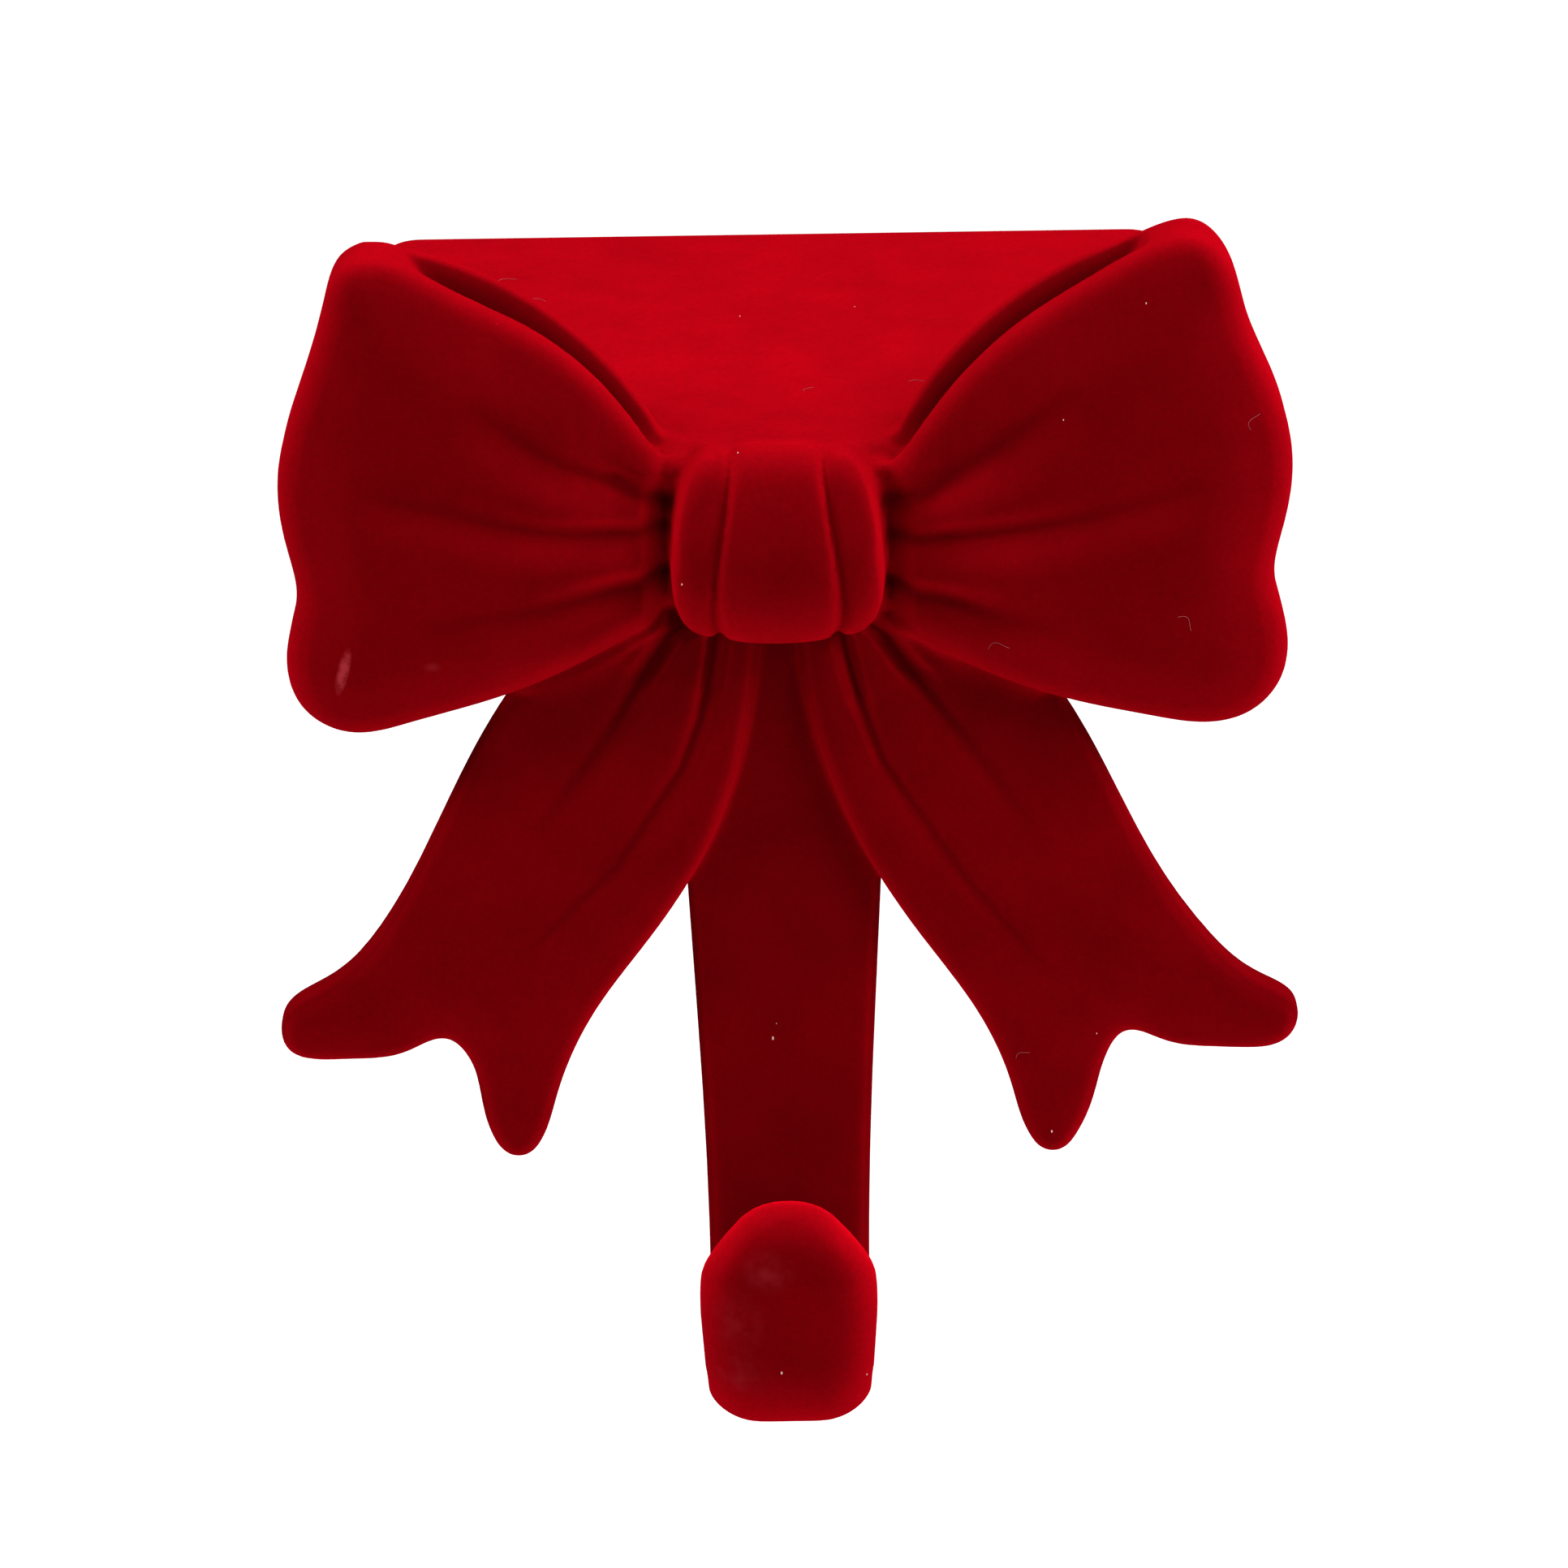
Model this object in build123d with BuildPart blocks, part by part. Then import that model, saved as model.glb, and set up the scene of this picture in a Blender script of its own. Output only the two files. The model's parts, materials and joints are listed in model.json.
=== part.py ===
from build123d import *
import math
import os

os.makedirs("parts", exist_ok=True)

# Shelf plate: lies on the mantel shelf, origin at the middle of its underside.
PLATE_WIDTH = 130.0
PLATE_DEPTH = 102.0
PLATE_THICK = 16.5
PLATE_CORNER = 6.0
PLATE_EDGE = 3.0
PLATE_LAP = 10.0

# Distances called "out" are measured forwards from the face of the shelf.
FACE = Plane.XZ.offset(PLATE_DEPTH / 2)
STACK = 34.0

# Strap and hook, as heights above the underside of the plate.
STRAP_THICK = 8.0
STRAP_SIDE = [(17.5, 10), (16, -36), (14.9, -60), (13.3, -94), (12.7, -127)]
STRAP_SHIFT = 0.25
STRAP_EDGE = 3.0
HOOK_GAP = 16.0
HOOK_BOTTOM = -142.8
HOOK_OUTER = STRAP_THICK + HOOK_GAP / 2
HOOK_BEND = HOOK_BOTTOM + HOOK_OUTER
TONGUE_BACK = STRAP_THICK + HOOK_GAP
HOOK_OUTER_EDGE = 5.4
HOOK_INNER_EDGE = 2.2
BEND_HALF = 13.3
TONGUE_SIDE = [(BEND_HALF, HOOK_BEND), (13.5, -119), (12.4, -110), (8, -103.2), (0, -101)]

# Ribbon layers of the bow.
LOOP_BACK = 1.5
LOOP_FRONT = 19.2
LOOP_EDGE = 4.6
LAYER_THICK = 4.5
POCKET_WIDTH = 7.0
POCKET_DEEP = 4.5
POCKET_OPEN = 13.0
RIM_RISE = 7.6
RIM_EDGE = 1.8
TAIL_BACK = 5.5
TAIL_FRONT = 14.0
TAIL_EDGE = 2.5

# Knot: a wide band between two narrow ones, as (across, tall, deep, corner) sections.
KNOT_HEIGHT = 3.5
KNOT_OUT = 15.8
KNOT_TALL = 30.0
KNOT_DEEP = 25.6
KNOT_ROUND = 11.0
KNOT_SIDES = [
    (6.0, 26.6, 22.4, 9.8), (8.6, 26.8, 22.6, 9.8), (11.8, 29.2, 24.8, 10.6), (13.9, 27, 23.2, 10),
    (15.1, 22.5, 19.8, 8.6), (15.6, 17.5, 16, 7),
]
BAND_HALF = 8.9
BAND_EDGE = 3.2

# Outlines seen from the front, as (across, height).
LEFT_LOOP = [
    (-6, 9), (-14.5, 14), (-24.5, 26.5), (-36, 36.5), (-50, 44), (-59, 48), (-64, 46.6), (-67, 40),
    (-70.6, 28.5), (-74.6, 15), (-73.8, 3), (-72.6, -4.5), (-74.5, -13.5), (-72.4, -22.8), (-65.5, -26.8),
    (-56, -25.3), (-41, -20.8), (-27, -14.5), (-16.5, -9), (-6, -5.5),
]
RIGHT_LOOP = [
    (6, 9), (15.5, 13.5), (24, 24), (35, 35.5), (47.5, 43.8), (57, 48.8), (63, 49.6), (67.2, 45.8),
    (70.4, 36), (74.6, 26), (77.3, 14), (76, 4), (74.8, -3), (76.6, -11), (76.2, -20), (71.5, -25.5),
    (65.5, -27.2), (56.5, -26), (43.5, -22.9), (29.5, -17.6), (17, -11.5), (6, -6.5),
]
LEFT_TAIL = [
    (-8, 2), (-28, -8), (-41, -22.3), (-49.6, -37.2), (-56.4, -51.2), (-62.8, -62), (-71, -70.2),
    (-78.2, -76), (-77.8, -80.4), (-68, -82.7), (-58.5, -81.4), (-52.5, -79.4), (-49.8, -82), (-47.6, -90.5),
    (-45.5, -97.7), (-44.1, -99.4), (-42, -100.1), (-39.9, -99.4), (-38.5, -97.7), (-35.8, -90),
    (-29, -74.5), (-20, -62), (-9.5, -44), (-5, -28), (-3, -5),
]
RIGHT_TAIL = [
    (8, 2), (28, -8), (42.6, -23.5), (51, -39), (59.4, -55.3), (65.8, -64.3), (74, -71.8), (79.9, -76.5),
    (79, -80.6), (68, -82.8), (58.5, -81.3), (53, -79.7), (50.5, -83), (48, -92), (45.3, -98.1),
    (43.9, -99.8), (41.8, -100.5), (39.7, -99.8), (38.3, -98.1), (35.2, -88.8), (29, -74.5), (20.5, -62),
    (10, -43.5), (5, -28), (3, -5),
]

# Gathers: creases that fan out from under the knot, each by four points on its line.
LOOP_CREASES = [
    [(-13, 7.6), (-19, 11.2), (-31, 18), (-44, 25)],
    [(-13, 5.4), (-24, 6), (-40, 7.8), (-57, 13)],
    [(-13, -1.4), (-20, -2.2), (-30, -3.4), (-43, -4.8)],
    [(13, 4.4), (18.5, 8), (29.5, 15.2), (43, 24)],
    [(13, 3.9), (24, 4.8), (40, 8), (58, 11)],
    [(13, -3.6), (20, -4.3), (31, -5.6), (48, -7.2)],
]
TAIL_CREASES = [
    [(-12, -6), (-19, -16.5), (-27, -28.5), (-35, -39)],
    [(-9, -6), (-10.5, -22), (-17, -38), (-30, -54)],
    [(11, -6), (19, -17.5), (27, -27.5), (36, -39)],
    [(9, -6), (11.5, -22), (18.2, -37.6), (30.5, -55)],
]
CREASE_DEPTHS = [3.0, 2.3, 1.3, -0.3]
CREASE_HALVES = [1.9, 2.1, 2.5, 2.5]
CREASE_TALL = 4.0


def loop_front(x, z):
    """How far out the front of a loop stands: crowned, and pinched towards the knot."""
    crown = 1.2 * math.exp(-(((abs(x) - 46) / 24) ** 2) - ((z - 10) / 30) ** 2)
    pinch = 4.5 * math.exp(-(((abs(x) - 12) / 13) ** 2))
    return LOOP_FRONT + crown - pinch


def tail_front(x, z):
    """How far out the front of a tail stands: pinched under the knot, crowned further down."""
    crown = 1.0 * math.exp(-(((z + 66) / 18) ** 2))
    pinch = 1.5 * math.exp(-(((z + 8) / 24) ** 2))
    return TAIL_FRONT + crown - pinch


def relief(front, x_range, z_range, step=2.0):
    """Smooth face through the heights that a formula gives over a rectangle."""
    xs = [x_range[0] + i * step for i in range(int((x_range[1] - x_range[0]) / step) + 1)]
    zs = [z_range[0] + j * step for j in range(int((z_range[1] - z_range[0]) / step) + 1)]
    grid = [[FACE.from_local_coords(Vector(x, z, front(x, z))) for z in zs] for x in xs]
    return Face.make_surface_from_array_of_points(grid, tol=0.05, smoothing=(1, 0.5, 0.2), max_deg=6)


def layer(outline, back, front_face, edge):
    """A padded ribbon layer: an outline between a flat back and a relief, edges rounded."""
    with BuildPart() as piece:
        with BuildSketch(FACE.offset(back)):
            with BuildLine():
                rim = Spline(*outline)
                Line(rim @ 1, rim @ 0)
            make_face()
        extrude(amount=STACK)
        extrude(front_face, amount=2 * STACK, dir=-FACE.z_dir, mode=Mode.INTERSECT)
        fillet(piece.edges().filter_by(lambda e: e.length > 60), edge)
    return piece.part


def crease(line, front):
    """A cutter for one gather crease: deep and narrow at the knot, running out on the ribbon."""
    spots = [Vector(x, z, front(x, z) + CREASE_TALL - deep) for (x, z), deep in zip(line, CREASE_DEPTHS)]
    spots = [FACE.from_local_coords(spot) for spot in spots]
    with BuildPart() as piece:
        for i, half in enumerate(CREASE_HALVES):
            run = spots[min(i + 1, 3)] - spots[max(i - 1, 0)]
            with BuildSketch(Plane(origin=spots[i], x_dir=FACE.z_dir, z_dir=run)):
                Ellipse(CREASE_TALL, half)
        loft()
    return piece.part


def arch(foot, corner, rise):
    """The point that stands a given rise above the middle of a chord."""
    chord = Vector(*corner) - Vector(*foot)
    normal = Vector(-chord.Y, chord.X).normalized()
    lift = normal if normal.Y > 0 else -normal
    top = (Vector(*foot) + Vector(*corner)) * 0.5 + lift * rise
    return (top.X, top.Y)


def lens(foot, corner, low, high, back, thick):
    """A slab between two arcs over the same chord."""
    with BuildPart() as piece:
        with BuildSketch(FACE.offset(back)):
            with BuildLine():
                ThreePointArc(foot, arch(foot, corner, low), corner)
                ThreePointArc(foot, arch(foot, corner, high), corner)
            make_face()
        extrude(amount=thick)
    return piece


def back_rim(foot, corner):
    """The rim of a loop's back layer, which stands higher than the front rim."""
    piece = lens(foot, corner, -6, RIM_RISE, LOOP_BACK + 0.2, LAYER_THICK - 0.2)
    edges = piece.edges().filter_by(lambda e: e.center().Z > arch(foot, corner, 2)[1] and e.length > 40)
    return piece.part.fillet(RIM_EDGE, edges)


def pocket(foot, corner):
    """The opening along the top of a loop, between its front and back layers."""
    return lens(foot, corner, -POCKET_DEEP, POCKET_OPEN, LOOP_BACK + LAYER_THICK, POCKET_WIDTH).part


def knot_side(side):
    """A narrow outer band of the knot, bowed out to the side like a barrel."""
    with BuildPart() as piece:
        for across, tall, deep, corner in KNOT_SIDES:
            with BuildSketch(Plane.YZ.offset(side * across)):
                with Locations((-PLATE_DEPTH / 2 - KNOT_OUT, KNOT_HEIGHT)):
                    RectangleRounded(deep, tall, corner)
        loft()
    return piece.part


# Shelf plate.
with BuildPart() as plate:
    with BuildSketch():
        with Locations((0, -PLATE_LAP / 2)):
            RectangleRounded(PLATE_WIDTH, PLATE_DEPTH + PLATE_LAP, PLATE_CORNER)
    extrude(amount=PLATE_THICK)
    fillet(plate.faces().sort_by(Axis.Z)[-1].edges(), PLATE_EDGE)
    fillet(plate.faces().sort_by(Axis.Z)[0].edges(), 1.0)

# Strap down the face of the shelf.
with BuildPart() as strap:
    with BuildSketch(FACE):
        with BuildLine():
            left = Spline(*[(STRAP_SHIFT - half, height) for half, height in STRAP_SIDE])
            right = Spline(*[(STRAP_SHIFT + half, height) for half, height in STRAP_SIDE])
            Line(left @ 0, right @ 0)
            Line(left @ 1, right @ 1)
        make_face()
    extrude(amount=STRAP_THICK)
    fillet(strap.edges().filter_by(lambda e: e.length > 50), STRAP_EDGE)

# Hook: the strap turns forwards and up into a round-topped tongue.
with BuildPart() as hook:
    with BuildSketch(Plane.XY.offset(HOOK_BEND)) as section:
        with Locations((0, -PLATE_DEPTH / 2 - STRAP_THICK / 2)):
            Rectangle(2 * BEND_HALF, STRAP_THICK)
        fillet(section.vertices().group_by(Axis.Y)[-1], HOOK_OUTER_EDGE)
        fillet(section.vertices().group_by(Axis.Y)[0], HOOK_INNER_EDGE)
    revolve(axis=Axis((0, -PLATE_DEPTH / 2 - HOOK_OUTER, HOOK_BEND), (-1, 0, 0)), revolution_arc=180)

with BuildPart() as tongue:
    with BuildSketch(FACE.offset(TONGUE_BACK)):
        with BuildLine():
            right = Spline(*TONGUE_SIDE, tangents=((0, 1), (-1, 0)))
            left = Spline(*[(-half, height) for half, height in TONGUE_SIDE], tangents=((0, 1), (1, 0)))
            Line(left @ 0, right @ 0)
        make_face()
    extrude(amount=STRAP_THICK)
    fillet(tongue.edges().filter_by(lambda e: e.length > 30).group_by(Axis.Y)[0], HOOK_OUTER_EDGE)
    fillet(tongue.edges().filter_by(lambda e: e.length > 30).group_by(Axis.Y)[-1], HOOK_INNER_EDGE)

# Bow loops, each with its pocket and gathers.
loop_relief_left = relief(loop_front, (-84, -2), (-36, 58))
loop_relief_right = relief(loop_front, (2, 86), (-36, 58))
with BuildPart() as loops:
    add(layer(LEFT_LOOP, LOOP_BACK, loop_relief_left, LOOP_EDGE))
    add(layer(RIGHT_LOOP, LOOP_BACK, loop_relief_right, LOOP_EDGE))
    for line in LOOP_CREASES:
        add(crease(line, loop_front), mode=Mode.SUBTRACT)
    add(back_rim((-15.5, 13.5), (-62, 47.6)))
    add(back_rim((16, 12.8), (62.5, 48.8)))
    add(pocket((-17, 16.5), (-55.5, 47.4)), mode=Mode.SUBTRACT)
    add(pocket((17, 15), (55.5, 47.8)), mode=Mode.SUBTRACT)

# Forked tails with their gathers.
tail_relief_left = relief(tail_front, (-88, 2), (-108, 8))
tail_relief_right = relief(tail_front, (-2, 88), (-108, 8))
with BuildPart() as tails:
    add(layer(LEFT_TAIL, TAIL_BACK, tail_relief_left, TAIL_EDGE))
    add(layer(RIGHT_TAIL, TAIL_BACK, tail_relief_right, TAIL_EDGE))
    for line in TAIL_CREASES:
        add(crease(line, tail_front), mode=Mode.SUBTRACT)

# Knot over the middle of the bow.
with BuildPart() as knot:
    with BuildSketch(Plane.YZ.offset(-BAND_HALF)):
        with Locations((-PLATE_DEPTH / 2 - KNOT_OUT, KNOT_HEIGHT)):
            RectangleRounded(KNOT_DEEP, KNOT_TALL, KNOT_ROUND)
    extrude(amount=2 * BAND_HALF)
    fillet(knot.edges().filter_by(lambda e: abs(e.tangent_at(0.5).X) < 0.1), BAND_EDGE)
    add(knot_side(-1))
    add(knot_side(1))

# The whole casting.
with BuildPart() as holder_body:
    add(plate.part)
    add(strap.part)
    add(hook.part)
    add(tongue.part)
    add(tails.part)
    add(loops.part)
    add(knot.part)

holder_body.part.label = "holder_body"
export_step(holder_body.part, "parts/holder_body.step")
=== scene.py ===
import json
import math

import bpy
import numpy as np
from mathutils import Matrix, Vector
from mathutils.kdtree import KDTree

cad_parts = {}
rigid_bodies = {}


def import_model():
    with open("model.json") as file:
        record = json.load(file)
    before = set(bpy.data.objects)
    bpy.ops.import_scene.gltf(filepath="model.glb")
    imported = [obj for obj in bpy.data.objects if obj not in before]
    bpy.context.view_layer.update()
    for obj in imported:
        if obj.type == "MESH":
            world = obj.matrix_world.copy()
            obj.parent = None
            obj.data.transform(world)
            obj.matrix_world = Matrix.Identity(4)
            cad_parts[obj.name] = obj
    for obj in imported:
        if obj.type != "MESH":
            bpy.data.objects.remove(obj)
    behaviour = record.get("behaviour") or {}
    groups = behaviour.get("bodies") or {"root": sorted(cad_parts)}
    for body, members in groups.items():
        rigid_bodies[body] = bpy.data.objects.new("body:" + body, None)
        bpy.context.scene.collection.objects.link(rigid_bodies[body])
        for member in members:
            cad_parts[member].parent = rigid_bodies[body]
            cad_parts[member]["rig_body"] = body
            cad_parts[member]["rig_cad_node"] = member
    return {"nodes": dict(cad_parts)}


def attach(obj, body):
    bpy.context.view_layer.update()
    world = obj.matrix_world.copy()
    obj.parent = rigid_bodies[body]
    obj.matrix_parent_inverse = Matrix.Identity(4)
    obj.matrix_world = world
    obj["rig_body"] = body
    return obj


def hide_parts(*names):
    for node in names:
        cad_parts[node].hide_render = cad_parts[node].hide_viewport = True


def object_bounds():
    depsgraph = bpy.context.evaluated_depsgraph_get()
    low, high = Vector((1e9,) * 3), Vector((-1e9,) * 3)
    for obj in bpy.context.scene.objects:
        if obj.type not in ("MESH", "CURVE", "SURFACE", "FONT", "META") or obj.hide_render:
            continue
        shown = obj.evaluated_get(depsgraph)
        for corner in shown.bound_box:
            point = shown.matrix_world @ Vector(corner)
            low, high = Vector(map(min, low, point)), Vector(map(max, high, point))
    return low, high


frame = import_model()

cad_low, cad_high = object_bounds()
scene = bpy.context.scene
scene.view_settings.view_transform = "Standard"

# The holder is one resin casting: shelf plate, bow and hook come out of a single mould.
# Its soft edges come from the mould and from the flock, which is blown onto glue and
# rounds every corner and crease. The work starts from an even skin over the solid.
MM = 0.001
SAME_POINT = 0.001 * MM
SKIN_VOXEL = 0.65 * MM


def select_only(piece):
    """Makes one object the only selected and active one."""
    bpy.ops.object.select_all(action="DESELECT")
    piece.select_set(True)
    bpy.context.view_layer.objects.active = piece


def apply_all(piece):
    """Applies every modifier of a piece, from the first to the last."""
    select_only(piece)
    for modifier in list(piece.modifiers):
        bpy.ops.object.modifier_apply(modifier=modifier.name)


def even_skin(piece, voxel):
    """Covers a piece with an even net of small faces."""
    remesh = piece.modifiers.new("even skin", "REMESH")
    remesh.mode = "VOXEL"
    remesh.voxel_size = voxel
    apply_all(piece)


select_only(frame["nodes"]["holder_body"])
bpy.ops.object.duplicate()
casting = bpy.context.object
casting.name = "flocked_casting"
casting.parent = None
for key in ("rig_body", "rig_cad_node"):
    del casting[key]
bpy.ops.object.mode_set(mode="EDIT")
bpy.ops.mesh.select_all(action="SELECT")
bpy.ops.mesh.remove_doubles(threshold=SAME_POINT)
bpy.ops.object.mode_set(mode="OBJECT")
even_skin(casting, SKIN_VOXEL)

# The bow's loops and tails are cast as padded ribbon: their fronts bulge in the middle and
# curve back towards their outlines. The loops are fuller beside the knot that pinches them,
# and the tails lie deeper where the loops cover them. A pad is its bulge, drop and reach.
SHELF_FACE = -51 * MM
LOOP_FOOT = ((6, -7.5), (17, -12), (29, -18), (43, -23.3), (56, -26.5), (66, -28))
LOOP_ROOT = 13 * MM
LOOP_BACK = 3 * MM
LOOP_RIM_OUT = (13.3 * MM, 16 * MM)
LOOP_RIM_ROOT = 14 * MM
LOOP_LOWEST = -30 * MM
LOOP_PAD = (2.4 * MM, 0.8 * MM, 12 * MM)
LOOP_PAD_ACROSS = (13, 40)
LOOP_PAD_OUT = (6, 14)
PINCH_FILL = 2.6 * MM
PINCH_STARTS = (15, 20)
PINCH_ENDS = (20, 42)
PINCH_FOOT = (2, 8)
PINCH_TOP = (10, 18)
TAIL_ROOT = 2 * MM
TAIL_OUT = (6 * MM, 17 * MM)
TAIL_RIM_OUT = (8 * MM, 11.5 * MM)
TAIL_PAD = (0.8 * MM, 0.6 * MM, 10 * MM)
TAIL_PAD_BELOW = (15, 60)
TAIL_PAD_OUT = (6, 12)
TAIL_UNDER = 1.6 * MM
TAIL_UNDER_ACROSS = (14, 24)
TAIL_UNDER_BELOW = (6, 40)
RIMS_APART = 1.5 * MM
SIDE_ON = 0.6


def rows_of(piece, name):
    """Places ("co") or normals ("normal") of a piece's vertices as rows of x, y, z."""
    flat = np.empty(3 * len(piece.data.vertices))
    piece.data.vertices.foreach_get(name, flat)
    return flat.reshape(-1, 3)


def put_back(piece, co):
    """Gives a piece's vertices new places."""
    piece.data.vertices.foreach_set("co", co.ravel())
    piece.data.update()


def eased(values, start, end):
    """0 before start, 1 after end, smooth in between."""
    t = np.clip((values - start) / (end - start), 0, 1)
    return t * t * (3 - 2 * t)


def ramp(lengths, start, end):
    """0 before start millimetres, 1 after end, smooth in between."""
    return eased(lengths, start * MM, end * MM)


def between(lengths, span):
    """Whether each length lies inside a span."""
    return (lengths > span[0]) & (lengths < span[1])


def foot_of_loops(across):
    """The height of the loops' lower edge at a distance from the middle of the bow."""
    return np.interp(across, [x * MM for x, z in LOOP_FOOT], [z * MM for x, z in LOOP_FOOT])


def from_outline(co, edge):
    """How far each vertex lies from the nearest of some edge vertices, seen from the front."""
    tree = KDTree(len(edge))
    for i, (x, y, z) in enumerate(edge):
        tree.insert((x, 0, z), i)
    tree.balance()
    return np.array([tree.find((x, 0, z))[2] for x, y, z in co])


def pillow(away, pad):
    """How far a padded front moves back at a distance from its outline: it bulges inside."""
    bulge, drop, reach = pad
    return drop - (bulge + drop) * eased(away, 0, reach)


co = rows_of(casting, "co")
normal = rows_of(casting, "normal")
height = co[:, 2]
out = SHELF_FACE - co[:, 1]
across = np.abs(co[:, 0])
loop_foot = foot_of_loops(across)
on_side = np.abs(normal[:, 1]) < SIDE_ON
in_loop = (height > loop_foot) & (across > LOOP_ROOT) & (out > LOOP_BACK)
in_tail = (height < loop_foot) & (across > TAIL_ROOT) & between(out, TAIL_OUT)
loop_rim = on_side & between(out, LOOP_RIM_OUT) & (across > LOOP_RIM_ROOT) & (height > LOOP_LOWEST)
loop_edge = co[loop_rim]
tail_edge = co[on_side & in_tail & between(out, TAIL_RIM_OUT)]
tail_edge = tail_edge[from_outline(tail_edge, loop_edge) > RIMS_APART]
inside = np.zeros(len(co))
inside[in_loop] = from_outline(co[in_loop], loop_edge)
inside[in_tail] = from_outline(co[in_tail], tail_edge)
fuller = PINCH_FILL * ramp(across, *PINCH_STARTS) * (1 - ramp(across, *PINCH_ENDS))
fuller *= ramp(height - loop_foot, *PINCH_FOOT) * (1 - ramp(height, *PINCH_TOP))
deeper = TAIL_UNDER * (1 - ramp(loop_foot - height, *TAIL_UNDER_BELOW)) * ramp(across, *TAIL_UNDER_ACROSS)
loop_back = pillow(inside, LOOP_PAD) * ramp(across, *LOOP_PAD_ACROSS) - fuller
tail_back = pillow(inside, TAIL_PAD) * ramp(-height, *TAIL_PAD_BELOW) + deeper
back = np.zeros(len(co))
back[in_loop] = (loop_back * ramp(out, *LOOP_PAD_OUT))[in_loop]
back[in_tail] = (tail_back * ramp(out, *TAIL_PAD_OUT))[in_tail]
co[:, 1] += back

# The hook is cast on the strap's lower end and bends forward and up into a tongue. Its outside
# is padded too, square to the bend. The tongue is widest above the bend, and its round top
# leans back towards the strap.
HOOK_BELOW = (96, 99)
HOOK_OUT = (9, 11)
HOOK_ENDS = (16, 18)
HOOK_AXIS_OUT = 16 * MM
HOOK_BEND = -126.8 * MM
HOOK_OUTSIDE = (9, 14)
TONGUE_HALF = 13.4 * MM
TONGUE_CROWN = -115 * MM
TONGUE_RISE = 14 * MM
TONGUE_ROUND = 0.9
TONGUE_PAD = (0.3 * MM, 1.2 * MM, 9 * MM)
TONGUE_PAD_OUT = (12, 22)
TONGUE_LEAN = 3.0 * MM
TONGUE_OUT = (12, 18)
TONGUE_WIDER = 0.04
WIDER_FROM = (-138, -124)
WIDER_TO = (-114, -108)
TONGUE_NARROWER = 0.03
NARROWER_FROM = (-109, -102)
TONGUE_ROUNDER = 12.5
ROUNDER_FROM = (-114, -104)
NO_ZERO = 1e-9

in_hook = ramp(-height, *HOOK_BELOW) * ramp(out, *HOOK_OUT) * (1 - ramp(across, *HOOK_ENDS))
spoke = np.stack([np.zeros(len(co)), HOOK_AXIS_OUT - out, np.minimum(height - HOOK_BEND, 0)], axis=1)
radius = np.linalg.norm(spoke, axis=1)
round_top = np.clip((height - TONGUE_CROWN) / TONGUE_RISE, 0, 1)
away = np.maximum(TONGUE_HALF * np.sqrt(1 - TONGUE_ROUND * round_top**2) - across, 0)
inward = pillow(away, TONGUE_PAD) + TONGUE_LEAN * round_top**2
inward *= ramp(radius, *HOOK_OUTSIDE) * ramp(out, *TONGUE_PAD_OUT) * in_hook
co -= spoke / np.maximum(radius, NO_ZERO)[:, None] * inward[:, None]
in_tongue = in_hook * ramp(out, *TONGUE_OUT)
wider = TONGUE_WIDER * ramp(height, *WIDER_FROM) * (1 - ramp(height, *WIDER_TO))
wider -= TONGUE_NARROWER * ramp(height, *NARROWER_FROM)
co[:, 0] *= 1 + wider * in_tongue
co[:, 2] -= TONGUE_ROUNDER * across**2 * in_tongue * ramp(height, *ROUNDER_FROM)
put_back(casting, co)

# Glue and flock fill sharp places of the casting. The solid's creases run out softly before
# the gathers are carved, and the knot, the hook, its lower corners and the ribbons pinched
# beside the knot are rounded off, each by its own number of smoothing rounds.
FINE_VOXEL = 0.5 * MM
KNOT_HALF = 15.8 * MM
KNOT_EDGE = 1 * MM
KNOT_FOOT = (-14, -12)
KNOT_FRONT = (3, 6)
SOFT_LEVELS = 20
CREASE_ROUNDS = 120
CREASE_FACING = (0.3, 0.7)
CREASE_OUT = (7, 9)
CREASE_INSIDE = (2, 6)
CREASE_PINCH = (22, 28)
CREASE_PINCH_FOOT = (3, 6)
CREASE_PINCH_TOP = (11, 15)
KNOT_ROUNDS = 50
HOOK_ROUNDS = 12
SKIN_ROUNDS = 8
CORNER_ROUNDS = 90
CORNER_BELOW = (120, 130)
CORNER_ACROSS = (6, 10)
CORNER_OUT = (8, 18)
TIP_SOFTNESS = 0.6
TIP_OUT = (17, 19)
TIP_FROM = (-112, -105)
PINCH_ROUNDS = 30
PINCH_ACROSS = (26, 34)
PINCH_OUT = (8, 10)
PINCH_FROM = (-9, -6)


def on_knot_of(co):
    """1 on the knot's vertices, 0 away from it."""
    beside = eased(np.abs(co[:, 0]), KNOT_HALF, KNOT_HALF + KNOT_EDGE)
    return (1 - beside) * ramp(co[:, 2], *KNOT_FOOT) * ramp(SHELF_FACE - co[:, 1], *KNOT_FRONT)


def soften(piece, rounds, weights, only_depth=False):
    """Rounds a piece off, more where its weights are higher, or only thins it towards its edges."""
    group = piece.vertex_groups.new(name="softness")
    levels = np.round(weights * SOFT_LEVELS).astype(int)
    for level in range(1, SOFT_LEVELS + 1):
        rows = np.flatnonzero(levels == level).tolist()
        if rows:
            group.add(rows, level / SOFT_LEVELS, "REPLACE")
    smooth = piece.modifiers.new("soft edges", "SMOOTH")
    smooth.factor = 0.5
    smooth.iterations = rounds
    smooth.use_x = not only_depth
    smooth.use_z = not only_depth
    smooth.vertex_group = group.name
    apply_all(piece)
    piece.vertex_groups.clear()


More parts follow.
